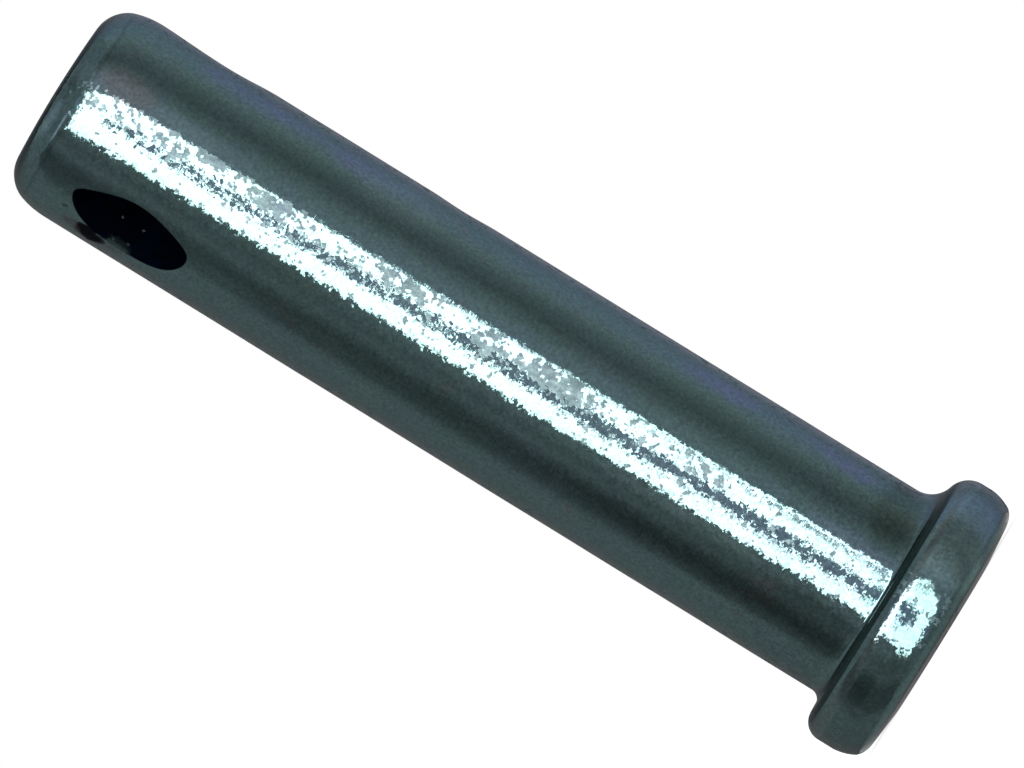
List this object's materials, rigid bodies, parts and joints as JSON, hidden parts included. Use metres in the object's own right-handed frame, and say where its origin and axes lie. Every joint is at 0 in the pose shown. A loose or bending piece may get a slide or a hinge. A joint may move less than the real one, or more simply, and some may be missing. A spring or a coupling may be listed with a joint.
{
  "type": "chain tensioner pin",
  "caption": "Headed steel pin with a plain round shank, a rounded tip and an oval cross slot for a retaining clip; it carries the arm of a chain tensioner.",
  "frame": {"origin": "middle of the head's flat outer face, on which the pin stands", "axes": "+Z along the shank from the head to the tip; the cross slot runs along Y"},
  "size_m": [0.027, 0.027, 0.0925],
  "materials": {
    "pin_steel": "ground steel with a thin dark blue-green protective film, satin, with small bright bare specks"
  },
  "bodies": {
    "root": {"tensioner_pin": "pin_steel"}
  },
  "joints": []
}
